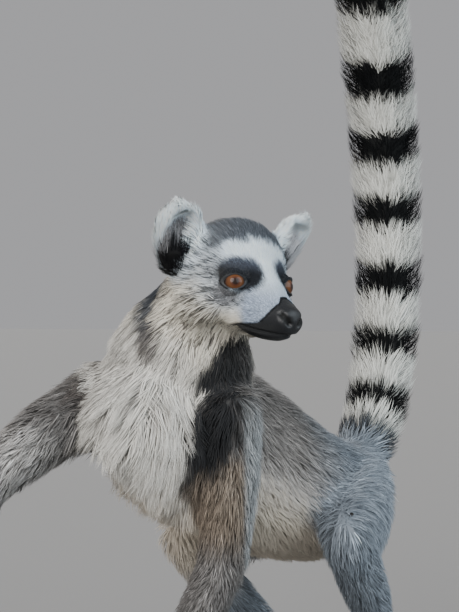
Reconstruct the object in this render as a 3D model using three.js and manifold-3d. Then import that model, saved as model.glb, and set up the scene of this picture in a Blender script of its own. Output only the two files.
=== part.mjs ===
// A ring-tailed lemur, life size, as a still display model: a standing adult with its weight on one straight
// forelimb, the other hand stepping forward, the hind legs folded under it, the head turned to its left and the
// ringed tail held up. Every surface is the outside of the coat, out to the tips of the hair.
// Millimetres, +Z up. The animal faces -Y and its left side is +X.
import * as THREE from "three";
import { mergeVertices } from "three/addons/utils/BufferGeometryUtils.js";
import Module from "manifold-3d";

const wasm = await Module();
wasm.setup();

// ---------------------------------------------------------------- driving dimensions

const GAP = 0.4; // between two pieces that meet
const SHOULDER_HEIGHT = 190;
const SHOULDER_HALF = 44; // from the middle of the chest to a shoulder joint
const HIP_HEIGHT = 124;
const HIP_HALF = 27;
const TRUNK_LENGTH = 198; // from the shoulder joints back to the hip joints
const TAIL_RADIUS = 23.5;
const EYE_RADIUS = 8;
const EYE_HALF = 16.8; // from the middle of the face to the centre of an eyeball
const EYE_SPLAY = 27; // degrees that each eye looks outwards from straight ahead

// The head's frame sits half way between the eyeballs.
const HEAD_AT = [62, 1, 265];
const HEAD_TURN = 71; // degrees to the animal's left
const HEAD_NOD = 7; // degrees that the nose points down
const HEAD_TILT = 4; // degrees that the crown leans to the animal's left

// Puts the floor's origin under the middle of the whole model.
const STANCE_SHIFT = [-2.5, -62.9, 0];

// ---------------------------------------------------------------- solids

const LEFT = [1, 0, 0];
const BACK = [0, 1, 0];
const UP = [0, 0, 1];
const AHEAD = [1, 0, 0]; // in the head's own frame

const vector = (p) => new THREE.Vector3(...p);
const radians = THREE.MathUtils.degToRad;
const SIDES = { left: 1, right: -1 };
const mix = (a, b, share) => a.map((from, i) => from + (b[i] - from) * share);

// One closed surface, with shared corners merged and flat slivers dropped, as a solid to join and cut.
function solidOf(geometry) {
  const bare = geometry.index ? geometry.toNonIndexed() : geometry.clone();
  bare.deleteAttribute("normal");
  bare.deleteAttribute("uv");
  const merged = mergeVertices(bare, 1e-4);
  const corners = merged.index.array;
  const triangles = [];
  for (let i = 0; i < corners.length; i += 3) {
    const [a, b, c] = corners.slice(i, i + 3);
    if (a !== b && b !== c && c !== a) triangles.push(a, b, c);
  }
  const vertProperties = new Float32Array(merged.attributes.position.array);
  const triVerts = new Uint32Array(triangles);
  return new wasm.Manifold(new wasm.Mesh({ numProp: 3, vertProperties, triVerts }));
}

function geometryOf(solid) {
  const mesh = solid.getMesh();
  const geometry = new THREE.BufferGeometry();
  geometry.setAttribute("position", new THREE.BufferAttribute(mesh.vertProperties, 3));
  geometry.setIndex(new THREE.BufferAttribute(mesh.triVerts, 1));
  geometry.computeVertexNormals();
  return geometry;
}

const joined = (solids) => solids.reduce((whole, next) => whole.add(next));

// A cut can leave crumbs beside the main body, so only the largest body stays.
function largestOf(solid) {
  const bodies = solid.decompose();
  return bodies.reduce((best, next) => (next.volume() > best.volume() ? next : best));
}

const cutBy = (solid, ...tools) => largestOf(tools.reduce((rest, tool) => rest.subtract(tool), solid));

// A round-ended body along a smooth path. A station is [x, y, z, half width, half depth]: the width runs along
// the side direction, and the depth across it and the path. Where the body is thick for its bends, its sections
// all face one way.
function loft(stations, options = {}) {
  const { side = LEFT, around = 14, along = 8, cap = 2, grow = 0, capLength = 1, facing, frame } = options;
  const path = new THREE.CatmullRomCurve3(stations.map((s) => new THREE.Vector3(s[0], s[1], s[2])));
  const sizes = new THREE.CatmullRomCurve3(stations.map((s) => new THREE.Vector3(s[3], s[4], 0)));
  const capsule = new THREE.CapsuleGeometry(1, 2, cap, around, along);
  const position = capsule.attributes.position;
  for (let i = 0; i < position.count; i += 1) {
    const [x, y, z] = [position.getX(i), position.getY(i), position.getZ(i)];
    const within = THREE.MathUtils.clamp(y, -1, 1);
    const t = (within + 1) / 2;
    const tangent = facing ? vector(facing) : path.getTangent(t);
    const deep = vector(side).cross(tangent).normalize();
    const wide = tangent.clone().cross(deep).normalize();
    const size = sizes.getPoint(t);
    const end = (y - within) * (Math.min(size.x, size.y) * capLength + grow);
    const point = path.getPoint(t);
    point.addScaledVector(tangent, end);
    point.addScaledVector(wide, x * (size.x + grow));
    point.addScaledVector(deep, z * (size.y + grow));
    position.setXYZ(i, point.x, point.y, point.z);
  }
  if (frame) capsule.applyMatrix4(frame);
  return solidOf(capsule);
}

function ball(centre, radii, frame, grow = 0, around = 16) {
  const sphere = new THREE.SphereGeometry(1, around, Math.round(around * 0.6));
  sphere.scale(...radii.map((r) => r + grow));
  sphere.translate(...centre);
  if (frame) sphere.applyMatrix4(frame);
  return solidOf(sphere);
}

// A thin wall across a body, square to a direction, that parts it in two.
function saw(at, direction, reach = 200, thickness = GAP, frame) {
  const box = new THREE.BoxGeometry(reach, reach, thickness);
  const turn = new THREE.Quaternion().setFromUnitVectors(vector(UP), vector(direction).normalize());
  box.applyMatrix4(new THREE.Matrix4().compose(vector(at), turn, new THREE.Vector3(1, 1, 1)));
  if (frame) box.applyMatrix4(frame);
  return solidOf(box);
}

// The bodies left by a cut, in the order in which they lie along a direction.
function inOrder(solid, direction) {
  const middle = (body) => {
    const { min, max } = body.boundingBox();
    return direction.reduce((sum, d, i) => sum + (d * (min[i] + max[i])) / 2, 0);
  };
  return solid.decompose().sort((a, b) => middle(a) - middle(b));
}

// ---------------------------------------------------------------- head

// The head's own frame: x ahead, y to its left, z up.
const headFrame = new THREE.Matrix4().compose(
  vector(HEAD_AT),
  new THREE.Quaternion().setFromEuler(
    new THREE.Euler(radians(-HEAD_TILT), radians(HEAD_NOD), radians(HEAD_TURN - 90), "ZYX"),
  ),
  new THREE.Vector3(1, 1, 1),
);

// From the back of the skull to the tip of the snout: [ahead, up, half width, half height].
const HEAD_PROFILE = [
  [-46, 1, 23, 22],
  [-33, 5, 33, 30],
  [-19, 6, 35, 31.5],
  [-8, 2, 31, 30.5],
  [1, -5, 24, 27],
  [9, -10, 17.5, 22],
  [17, -14, 14.5, 18],
  [25, -16.5, 12, 14.5],
  [33, -17.5, 9.8, 10],
];
const MUZZLE_AT = 14; // where the snout starts, ahead of the eyes
const NOSE_AT = 31.5; // where the bare nose starts
const MOUTH_UP = -24; // the line of the closed mouth at the lips
const CHEEK_RADII = [19, 15, 15];
const LID_AHEAD = 8; // from the centre of the eyeball to that of the hollow in front of it
const LID_RADIUS = 7.5;

function headSolid(grow = 0) {
  const stations = HEAD_PROFILE.map(([ahead, up, wide, high]) => [ahead, 0, up, wide, high]);
  const skull = loft(stations, {
    side: BACK,
    facing: AHEAD,
    around: 16,
    along: 10,
    capLength: 0.62,
    grow,
    frame: headFrame,
  });
  const cheeks = Object.values(SIDES).map((s) => ball([-17, s * 23, -13], CHEEK_RADII, headFrame, grow, 12));
  return joined([skull, ...cheeks]);
}

const eyeSolid = (s, grow = 0) => ball([0, s * EYE_HALF, 0], [EYE_RADIUS, EYE_RADIUS, EYE_RADIUS], headFrame, grow, 10);

// The hollow between the lids, in front of the eyeball along its gaze.
function lidOpening(s) {
  const gaze = [Math.cos(radians(EYE_SPLAY)), s * Math.sin(radians(EYE_SPLAY)), 0];
  const centre = [gaze[0] * LID_AHEAD, s * EYE_HALF + gaze[1] * LID_AHEAD, 0];
  return ball(centre, [LID_RADIUS, LID_RADIUS, LID_RADIUS], headFrame, 0, 10);
}

// An ear is a cupped leaf: from its root on the skull to its tip, with a hollow that opens ahead and outwards.
const EAR_ROOT = [-32, 32, 8];
const EAR_TIP = [-19, 50, 46];
const EAR_SPLAY = 16; // degrees that the hollow faces outwards from straight ahead
const EAR_PROFILE = [
  [-0.1, 13, 9], // [share of the way from root to tip, half width, half depth]
  [0.3, 17, 8],
  [0.65, 14.5, 6],
  [0.93, 6, 3.5],
];
const EAR_HOLLOW = { ahead: 11, share: 0.42, radii: [10, 10, 16] };
const earPoint = (s, share) => mix(EAR_ROOT, EAR_TIP, share).map((value, i) => (i === 1 ? value * s : value));

function earLeaf(s, grow = 0) {
  const splay = radians(EAR_SPLAY);
  const stations = EAR_PROFILE.map(([share, wide, deep]) => [...earPoint(s, share), wide, deep]);
  const side = [-s * Math.sin(splay), Math.cos(splay), 0];
  return loft(stations, { side, around: 10, along: 5, grow, frame: headFrame });
}

function earSolid(s) {
  const splay = radians(EAR_SPLAY);
  const middle = earPoint(s, EAR_HOLLOW.share);
  middle[0] += EAR_HOLLOW.ahead * Math.cos(splay);
  middle[1] += EAR_HOLLOW.ahead * Math.sin(splay) * s;
  return earLeaf(s).subtract(ball(middle, EAR_HOLLOW.radii, headFrame, 0, 10));
}

const inHeadOrder = (solid) => inOrder(solid, vector(AHEAD).transformDirection(headFrame).toArray());

function headPieces() {
  const eyes = Object.fromEntries(Object.entries(SIDES).map(([name, s]) => [`eye_${name}`, eyeSolid(s)]));
  const hollows = Object.values(SIDES).flatMap((s) => [eyeSolid(s, GAP), lidOpening(s)]);
  const whole = headSolid().subtract(joined(hollows));
  const [skull, snout] = inHeadOrder(whole.subtract(saw([MUZZLE_AT, 0, 0], AHEAD, 200, GAP, headFrame)));
  const lips = saw([MUZZLE_AT, 0, MOUTH_UP], [0.03, 0, 1], 120, GAP, headFrame);
  const [jaw, upper] = inOrder(snout.subtract(lips), UP);
  const [muzzle, nose] = inHeadOrder(upper.subtract(saw([NOSE_AT, 0, -16], [1, 0, 0.25], 60, GAP, headFrame)));
  const ears = Object.fromEntries(
    Object.entries(SIDES).map(([name, s]) => [`ear_${name}`, cutBy(earSolid(s), headSolid(GAP))]),
  );
  return { head: skull, muzzle, nose, lower_jaw: jaw, ...ears, ...eyes };
}

// ---------------------------------------------------------------- neck and trunk

const NECK = [
  [-6, 18, 198, 50, 38],
  [2, 14, 216, 48, 38],
  [14, 9, 238, 41, 34],
  [22, 6, 254, 31, 28],
];

// From the front of the chest back to the root of the tail.
const TRUNK = [
  [-3, -17, SHOULDER_HEIGHT + 1, 36, 38],
  [0, 8, SHOULDER_HEIGHT - 10, 46, 50],
  [2, 55, 166, 48, 54],
  [4, 105, 146, 48, 51],
  [5, 152, 132, 46, 45],
  [4, TRUNK_LENGTH, HIP_HEIGHT + 5, 43, 39],
  [1, 222, HIP_HEIGHT + 14, 30, 30],
];
const BELLY_AT = [0, 78, 160];
const RUMP_AT = [0, 168, 134];

const neckSolid = (grow = 0) => loft(NECK, { around: 14, along: 4, grow });
const trunkSolid = (grow = 0) => loft(TRUNK, { around: 16, along: 10, grow, capLength: 0.8 });

// ---------------------------------------------------------------- forelimbs

const ARMS = {
  left: {
    shoulder: [SHOULDER_HALF, 2, SHOULDER_HEIGHT - 2],
    elbow: [33, 12, 106],
    wrist: [24, -36, 27],
  },
  right: {
    shoulder: [-SHOULDER_HALF - 2, 4, SHOULDER_HEIGHT + 12],
    elbow: [-66, -84, 154],
    wrist: [-76, -132, 66],
  },
};

function upperArmSolid({ shoulder, elbow }, grow = 0) {
  const stations = [
    [...mix(shoulder, elbow, -0.06), 20, 22],
    [...mix(shoulder, elbow, 0.35), 21, 24],
    [...mix(shoulder, elbow, 0.75), 19, 20],
    [...mix(shoulder, elbow, 1), 17, 17.5],
  ];
  return loft(stations, { around: 10, along: 5, grow });
}

function forearmSolid({ elbow, wrist }, grow = 0) {
  const stations = [
    [...mix(elbow, wrist, 0.02), 16.5, 17],
    [...mix(elbow, wrist, 0.4), 16, 16.5],
    [...mix(elbow, wrist, 0.8), 11.5, 11.5],
    [...mix(elbow, wrist, 1), 9, 8.5],
  ];
  return loft(stations, { around: 10, along: 5, grow });
}

// ---------------------------------------------------------------- hind limbs

const LEGS = {
  left: { hip: [HIP_HALF + 5, 184, HIP_HEIGHT + 2], knee: [68, 96, 114], ankle: [46, 186, 38] },
  right: { hip: [-HIP_HALF + 2, 186, HIP_HEIGHT + 2], knee: [-60, 100, 106], ankle: [-42, 190, 38] },
};

function thighSolid({ hip, knee }, grow = 0) {
  const stations = [
    [...mix(hip, knee, -0.02), 21, 33],
    [...mix(hip, knee, 0.35), 23, 34],
    [...mix(hip, knee, 0.75), 20, 27],
    [...mix(hip, knee, 1), 17, 19],
  ];
  return loft(stations, { around: 10, along: 6, grow });
}

function shankSolid({ knee, ankle }, grow = 0) {
  const stations = [
    [...mix(knee, ankle, 0.02), 17, 19],
    [...mix(knee, ankle, 0.4), 17, 19],
    [...mix(knee, ankle, 0.8), 12.5, 13.5],
    [...mix(knee, ankle, 1), 10.5, 11],
  ];
  return loft(stations, { around: 10, along: 5, grow });
}

// ---------------------------------------------------------------- hands and feet

const FLOOR_REACH = 400;
function floorSolid() {
  const slab = new THREE.BoxGeometry(2 * FLOOR_REACH, 3 * FLOOR_REACH, FLOOR_REACH);
  slab.translate(0, 0, -FLOOR_REACH / 2);
  return solidOf(slab);
}
const floor = floorSolid();

// A digit from its knuckle to its tip: it arches up a little over its middle joint.
function digit(knuckle, tip, radius, arch) {
  const middle = mix(knuckle, tip, 0.5);
  middle[2] += arch;
  return loft(
    [
      [...knuckle, radius * 1.15, radius * 1.1],
      [...middle, radius, radius],
      [...tip, radius * 1.05, radius * 0.9],
    ],
    { around: 5, along: 2, cap: 1 },
  );
}

// Five digits fan out from a palm or sole. Each is [share across the palm, turn in degrees, length, radius].
function digits(rows, knuckles, heading, drop, arch, s) {
  return rows.map(([across, turn, length, radius]) => {
    const angle = heading + s * radians(turn);
    const [x, y, z] = knuckles;
    const knuckle = [x + Math.cos(heading) * across * s, y + Math.sin(heading) * across * s, z];
    const tip = [knuckle[0] + Math.sin(angle) * length, knuckle[1] - Math.cos(angle) * length, drop];
    return digit(knuckle, tip, radius, arch);
  });
}

// Across is measured outwards, away from the thumb or great toe.
const FINGERS = [
  [-9, -46, 22, 4],
  [-6, -11, 30, 3.7],
  [-0.5, 0, 35, 3.8],
  [4.5, 9, 33, 3.7],
  [8.5, 18, 26, 3.5],
];
const TOES = [
  [-8, -52, 30, 5],
  [-5, -9, 30, 3.9],
  [0, 0, 35, 4.1],
  [5, 8, 38, 4.1],
  [9, 17, 32, 3.8],
];

function leftHandSolid() {
  const { wrist } = ARMS.left;
  const heading = radians(4);
  const palmEnd = [wrist[0] + 2, wrist[1] - 36, 5.6];
  const palm = loft(
    [
      [...mix(wrist, palmEnd, -0.08), 9, 8.5],
      [...mix(wrist, palmEnd, 0.45), 12.5, 9],
      [...palmEnd, 13, 7],
    ],
    { around: 8, along: 3 },
  );
  return joined([palm, ...digits(FINGERS, [palmEnd[0], palmEnd[1] - 2, 6.5], heading, 2.8, 5, SIDES.left)]).subtract(floor);
}

function rightHandSolid() {
  const { wrist } = ARMS.right;
  const heading = radians(8);
  const palmEnd = [wrist[0] - 3, wrist[1] - 27, 32];
  const palm = loft(
    [
      [...mix(wrist, palmEnd, -0.08), 9.5, 9],
      [...mix(wrist, palmEnd, 0.45), 12.5, 9],
      [...palmEnd, 13, 7.5],
    ],
    { around: 8, along: 3 },
  );
  const fan = FINGERS.map(([across, turn, length, radius]) => [across, turn, length * 0.72, radius]);
  const fingers = digits(fan, [palmEnd[0], palmEnd[1] - 2, 29], heading, 2, 5, SIDES.right);
  return joined([palm, ...fingers]).subtract(floor);
}

function footSolid(name) {
  const s = SIDES[name];
  const { ankle } = LEGS[name];
  const heel = [ankle[0], ankle[1] + 10, 9];
  const ball = [ankle[0] + s * 5, ankle[1] - 58, 8];
  const heading = Math.atan2(ball[0] - heel[0], heel[1] - ball[1]);
  const sole = loft(
    [
      [...heel, 9, 10],
      [...mix(heel, ball, 0.35), 10.5, 10.5],
      [...mix(heel, ball, 0.75), 12, 8.5],
      [...ball, 12.5, 7],
    ],
    { around: 8, along: 4 },
  );
  const joint = loft([[...ankle, 10, 10.5], [...mix(ankle, heel, 0.9), 9.5, 10.5]], { around: 8, along: 1 });
  const toes = digits(TOES, [ball[0], ball[1] - 2, 6.5], heading, 2.9, 4, s);
  return joined([sole, joint, ...toes]).subtract(floor);
}

// ---------------------------------------------------------------- tail

// The tail rises from the rump, leans forward over the back and curls back at its tip: [x, y, z, share of radius].
const TAIL = [
  [1, 222, 145, 0.84],
  [-2, 248, 160, 0.9],
  [-5, 272, 190, 0.94],
  [-7, 286, 228, 0.98],
  [-7, 291, 276, 1],
  [-5, 284, 338, 1.02],
  [0, 266, 398, 1.04],
  [6, 243, 456, 1.06],
  [10, 224, 512, 1.08],
  [12, 212, 566, 1.08],
  [12, 212, 620, 1.04],
  [10, 228, 668, 0.9],
  [6, 252, 698, 0.5],
];
const TAIL_PIECES = 6;

function tailSolid(grow = 0) {
  const stations = TAIL.map(([x, y, z, share]) => [x, y, z, TAIL_RADIUS * share, TAIL_RADIUS * share]);
  return loft(stations, { around: 12, along: 24, grow });
}

function tailPieces() {
  const path = new THREE.CatmullRomCurve3(TAIL.map(([x, y, z]) => new THREE.Vector3(x, y, z)));
  const cuts = [];
  for (let i = 1; i < TAIL_PIECES; i += 1) {
    const t = path.getUtoTmapping(i / TAIL_PIECES);
    cuts.push(saw(path.getPoint(t).toArray(), path.getTangent(t).toArray(), 70));
  }
  const whole = cutBy(tailSolid(), trunkSolid(GAP));
  const lengths = inOrder(whole.subtract(joined(cuts)), UP);
  return Object.fromEntries(lengths.map((length, i) => [`tail_${i + 1}`, length]));
}

// ---------------------------------------------------------------- the pieces, each cut clear of its neighbours

function limbPieces() {
  const pieces = {};
  for (const name of Object.keys(SIDES)) {
    const arm = ARMS[name];
    const leg = LEGS[name];
    const hand = name === "left" ? leftHandSolid() : rightHandSolid();
    pieces[`upper_arm_${name}`] = upperArmSolid(arm);
    pieces[`forearm_${name}`] = cutBy(forearmSolid(arm), upperArmSolid(arm, GAP), floor);
    pieces[`hand_${name}`] = cutBy(hand, forearmSolid(arm, GAP));
    pieces[`thigh_${name}`] = thighSolid(leg);
    pieces[`shank_${name}`] = cutBy(shankSolid(leg), thighSolid(leg, GAP));
    pieces[`foot_${name}`] = cutBy(footSolid(name), shankSolid(leg, GAP), thighSolid(leg, GAP));
  }
  return pieces;
}

function trunkPieces() {
  const limbs = Object.keys(SIDES).flatMap((name) => [
    upperArmSolid(ARMS[name], GAP),
    forearmSolid(ARMS[name], GAP),
    thighSolid(LEGS[name], GAP),
    shankSolid(LEGS[name], GAP),
  ]);
  const lean = [0, TRUNK_LENGTH, HIP_HEIGHT - SHOULDER_HEIGHT];
  const parted = trunkSolid().subtract(joined([saw(BELLY_AT, lean), saw(RUMP_AT, lean)]));
  const [chest, belly, rump] = inOrder(parted, BACK).map((piece) => cutBy(piece, ...limbs));
  const ears = Object.values(SIDES).map((s) => earLeaf(s, GAP));
  const neck = cutBy(neckSolid(), headSolid(GAP), trunkSolid(GAP), ...ears, ...limbs);
  return { neck, chest, belly, rump };
}

const COLOURS = {
  grey: 0x8f8a84,
  pale: 0xd8d4cc,
  white: 0xe6e6e2,
  black: 0x1c1b1d,
  amber: 0x9a4a1c,
  skin: 0x2b2a2c,
};
const coat = (color) => new THREE.MeshStandardMaterial({ color, roughness: 0.9, metalness: 0 });
const FINISHES = {
  grey: coat(COLOURS.grey),
  pale: coat(COLOURS.pale),
  white: coat(COLOURS.white),
  black: coat(COLOURS.black),
  skin: new THREE.MeshStandardMaterial({ color: COLOURS.skin, roughness: 0.45, metalness: 0 }),
  amber: new THREE.MeshStandardMaterial({ color: COLOURS.amber, roughness: 0.08, metalness: 0 }),
};

// The finish of a piece, by the start of its name.
const FINISH_OF = {
  head: "white",
  muzzle: "white",
  lower_jaw: "skin",
  nose: "skin",
  ear: "white",
  eye: "amber",
  chest: "pale",
  neck: "pale",
  hand: "pale",
  foot: "pale",
  tail: "white",
};

const lemur = new THREE.Group();
lemur.position.set(...STANCE_SHIFT);
for (const [name, solid] of Object.entries({ ...headPieces(), ...trunkPieces(), ...limbPieces(), ...tailPieces() })) {
  const start = Object.keys(FINISH_OF).find((word) => name.startsWith(word));
  const mesh = new THREE.Mesh(geometryOf(solid), FINISHES[FINISH_OF[start] ?? "grey"]);
  mesh.name = name;
  lemur.add(mesh);
}

export default lemur;
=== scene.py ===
from math import cos, pi, radians, sin

import bmesh
import bpy
import numpy as np
from mathutils import Matrix, Vector
from mathutils.kdtree import KDTree


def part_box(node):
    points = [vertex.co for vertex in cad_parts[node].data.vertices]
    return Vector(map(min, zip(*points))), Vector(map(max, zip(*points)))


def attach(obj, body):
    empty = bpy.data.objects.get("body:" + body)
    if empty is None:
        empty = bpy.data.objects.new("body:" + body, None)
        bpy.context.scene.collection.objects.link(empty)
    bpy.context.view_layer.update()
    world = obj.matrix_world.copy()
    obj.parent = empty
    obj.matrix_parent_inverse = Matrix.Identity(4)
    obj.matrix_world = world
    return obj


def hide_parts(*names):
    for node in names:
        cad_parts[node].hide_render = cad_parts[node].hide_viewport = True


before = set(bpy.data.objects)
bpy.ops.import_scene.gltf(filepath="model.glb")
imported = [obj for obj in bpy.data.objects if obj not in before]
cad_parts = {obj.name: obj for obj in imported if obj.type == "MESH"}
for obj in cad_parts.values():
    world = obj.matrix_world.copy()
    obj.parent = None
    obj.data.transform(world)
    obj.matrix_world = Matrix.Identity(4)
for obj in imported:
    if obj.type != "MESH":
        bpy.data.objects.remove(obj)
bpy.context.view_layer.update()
MM = 0.001

# ---------------------------------------------------------------- the room
# A plain pale floor under soft light: a broad, hazy sun in front, the open sky on one side, a sharper sun
# behind that catches the edges of the coat, and an even grey all round. The camera is as low as the chin.

CAMERA_AT = (0.7716, -1.23, 0.253)
CAMERA_TURN = radians(32)
LENS_MM, FILM_MM = 140, 36
LIT = Vector((0, 0, 0.25))  # the point that every lamp faces
LAMPS = {  # where each stands, how many degrees wide it looks, its strength and its tint
    "hazy sun": ((0.2, -1.6, 1.0), 50, 3.6, (1, 0.99, 0.97)),
    "open sky": ((1.6, 0.1, 0.8), 70, 3.0, (0.82, 0.93, 1)),
    "low sun": ((-1.0, 1.3, 1.35), 6, 1.6, (1, 0.92, 0.85)),
}
SKY_COLOUR = (0.40, 0.40, 0.412, 1)
FLOOR_COLOUR, FLOOR_ROUGHNESS, FLOOR_HALF_WIDTH = (0.2, 0.2, 0.2, 1), 0.9, 20


def placed(name, data):
    """A new object in the scene, for that camera, lamp or mesh."""
    thing = bpy.data.objects.new(name, data)
    bpy.context.collection.objects.link(thing)
    return thing


camera_data = bpy.data.cameras.new("camera")
camera_data.lens = LENS_MM
camera_data.sensor_width = FILM_MM
camera = placed("camera", camera_data)
camera.location = CAMERA_AT
camera.rotation_euler = (pi / 2, 0, CAMERA_TURN)
bpy.context.scene.camera = camera

for name, (at, wide, strength, tint) in LAMPS.items():
    lamp_data = bpy.data.lights.new(name, "SUN")
    lamp_data.angle = radians(wide)
    lamp_data.energy = strength
    lamp_data.color = tint
    lamp = placed(name, lamp_data)
    lamp.location = at
    lamp.rotation_euler = (LIT - Vector(at)).to_track_quat("-Z", "Y").to_euler()

sky = bpy.data.worlds.new("sky")
sky.use_nodes = True
sky.node_tree.nodes["Background"].inputs["Color"].default_value = SKY_COLOUR
bpy.context.scene.world = sky

floor_mesh = bpy.data.meshes.new("floor")
floor_shape = bmesh.new()
bmesh.ops.create_grid(floor_shape, x_segments=1, y_segments=1, size=FLOOR_HALF_WIDTH)
floor_shape.to_mesh(floor_mesh)
floor_shape.free()
floor = placed("floor", floor_mesh)
floor_paint = bpy.data.materials.new("pale floor")
floor_paint.use_nodes = True
floor_surface = floor_paint.node_tree.nodes["Principled BSDF"]
floor_surface.inputs["Base Color"].default_value = FLOOR_COLOUR
floor_surface.inputs["Roughness"].default_value = FLOOR_ROUGHNESS
floor_mesh.materials.append(floor_paint)

# ---------------------------------------------------------------- skin
# One hide over the whole body, from the lips to the tip of the tail, with the lids, nostrils, lips and ear
# cups shaped in it. It is grown from the frame's flesh, made one surface, and drawn in by the coat's depth.
# Lengths are in millimetres from here on, until a mesh is written. s is 1 for its left and -1 for its right.

SEAM_FILL = 1.0  # how far the flesh grows so that its pieces join
SEAM_SUNK = 0.6  # the share of that which is drawn in again
DIGITS_BELOW = 10  # fingers and toes lie lower than this
DIGIT_SLIMMING, DIGIT_COAT = 0.5, 0.3  # how far they are drawn in, before and after they become one surface
GRAIN = 1.5  # size of the hide's mesh before it is thinned
KEPT = 0.40  # share of the plainer faces that stay
SOCKET_FILL = 9.0  # radius of the ball that closes each eye socket
HEAD_TURN, HEAD_NOD, HEAD_TILT = radians(-19), radians(7), radians(-4)
STANCE = np.array([-2.5, -62.9, 0])  # from the body's own frame, under the shoulders, to the floor's


def middle_of(node):
    low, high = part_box(node)
    return (Vector(low) + Vector(high)) / 2


head_turn = Matrix.Rotation(HEAD_TURN, 3, "Z") @ Matrix.Rotation(HEAD_NOD, 3, "Y")
HEAD_AXES = np.array(head_turn @ Matrix.Rotation(HEAD_TILT, 3, "X"))  # columns: ahead, to its left, up
EYES = {1: middle_of("eye_left"), -1: middle_of("eye_right")}
HEAD_AT = np.array((EYES[1] + EYES[-1]) / 2) / MM


def on_head(ahead, left, up):
    return HEAD_AT + HEAD_AXES @ np.array([ahead, left, up])


def on_body(x, y, z):
    return np.array([x, y, z]) + STANCE


def head_frame(points):
    return (points - HEAD_AT) @ HEAD_AXES


def ease(low, high, value):
    """0 at low and beyond it, 1 at high and beyond it, and smooth between them. Low may be the larger."""
    share = np.clip((value - low) / (high - low), 0, 1)
    return share * share * (3 - 2 * share)


def units(vectors):
    return vectors / np.maximum(np.linalg.norm(vectors, axis=1, keepdims=True), 1e-9)


TAIL_PATH = [
    on_body(*point)
    for point in [
        (1, 222, 145), (-2, 248, 160), (-5, 272, 190), (-7, 286, 228), (-7, 291, 276), (-5, 284, 338),
        (0, 266, 398), (6, 243, 456), (10, 224, 512), (12, 212, 566), (12, 212, 620), (10, 228, 668),
        (6, 252, 698),
    ]
]
TAIL_TRAITS = [23.5, 9.5, 13.5, 0.70]

# The lines that the hair follows, each from the head outwards: [start, end, half thickness of the part,
# depth of its coat, length of a lock, width of a lock], and the way locks lie where that isn't along it.
LINES = {
    "muzzle": [on_head(37, 0, -16), on_head(14, 0, -13), 15, 0.7, 2.2, 0.42],
    "face": [on_head(6, 0, -4), on_head(-12, 0, 1), 30, 1.5, 4.2, 0.46],
    "skull": [on_head(-22, 0, 3), on_head(-42, 0, 3), 31, 3.2, 7.5, 0.55],
    "neck": [on_body(22, 6, 250), on_body(-4, 16, 200), 38, 8, 19, 0.68, (-0.6, 0.2, -0.75)],
    "breast": [on_body(4, -30, 205), on_body(0, -24, 140), 42, 9, 27, 0.72, (-0.15, -0.25, -1)],
    "breast_side": [on_body(-24, -22, 208), on_body(-22, -16, 150), 38, 9, 26, 0.72, (-0.75, -0.15, -0.8)],
    "chest": [on_body(-3, -17, 191), on_body(2, 55, 166), 48, 8, 18, 0.72, (0, 0.5, -0.75)],
    "belly": [on_body(2, 55, 166), on_body(5, 152, 132), 48, 7.5, 16, 0.8, (0, 0.75, -0.5)],
    "rump": [on_body(5, 152, 132), on_body(1, 222, 145), 38, 7, 15, 0.8, (0, 0.8, -0.5)],
    "upper_arm_left": [on_body(44, 2, 188), on_body(33, 12, 106), 21, 5.5, 11, 0.65],
    "forearm_left": [on_body(33, 12, 106), on_body(24, -36, 27), 15, 4, 7.5, 0.55],
    "hand_left": [on_body(24, -36, 27), on_body(25, -112, 3), 9, 1.0, 3.0, 0.42],
    "upper_arm_right": [on_body(-46, 4, 202), on_body(-66, -84, 154), 22, 6, 14, 0.75],
    "forearm_right": [on_body(-66, -84, 154), on_body(-76, -132, 66), 15, 4.5, 11, 0.7],
    "hand_right": [on_body(-76, -132, 66), on_body(-80, -186, 3), 9, 1.0, 3.0, 0.42],
    "thigh_left": [on_body(32, 184, 126), on_body(68, 96, 114), 27, 5.5, 11, 0.7, (0.1, 0.35, -1)],
    "shank_left": [on_body(68, 96, 114), on_body(46, 186, 38), 16, 4, 8.5, 0.6],
    "foot_left": [on_body(46, 192, 22), on_body(56, 92, 3), 10, 1.1, 3.2, 0.45],
    "thigh_right": [on_body(-25, 186, 126), on_body(-60, 100, 106), 27, 5.5, 11, 0.7, (-0.1, 0.35, -1)],
    "shank_right": [on_body(-60, 100, 106), on_body(-42, 190, 38), 16, 4, 8.5, 0.6],
    "foot_right": [on_body(-42, 196, 22), on_body(-51, 96, 3), 10, 1.1, 3.2, 0.45],
    "ear_left": [on_head(-32, 33, 8), on_head(-19, 50, 47), 15, 1.4, 6.5, 0.5],
    "ear_right": [on_head(-32, -33, 8), on_head(-19, -50, 47), 15, 1.4, 6, 0.5],
}
for index, (start, end) in enumerate(zip(TAIL_PATH, TAIL_PATH[1:])):
    LINES[f"tail_{index}"] = [start, end, *TAIL_TRAITS]
PARTS = list(LINES)
ON_PAWS = [i for i, part in enumerate(PARTS) if part.startswith(("hand", "foot"))]
STARTS = np.array([line[0] for line in LINES.values()])
ENDS = np.array([line[1] for line in LINES.values()])
TRAITS = np.array([line[2:6] for line in LINES.values()])  # half thickness, depth, length, width
LIES = units(np.array([line[6] if len(line) > 6 else line[1] - line[0] for line in LINES.values()]))
PART_FIRMNESS = 6  # how surely a point belongs to the part that it is nearest to
PAW_HEIGHTS, PAW_PULL = (24, 14), 1e5  # down from the first height to the second, all comes to be a paw


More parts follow.
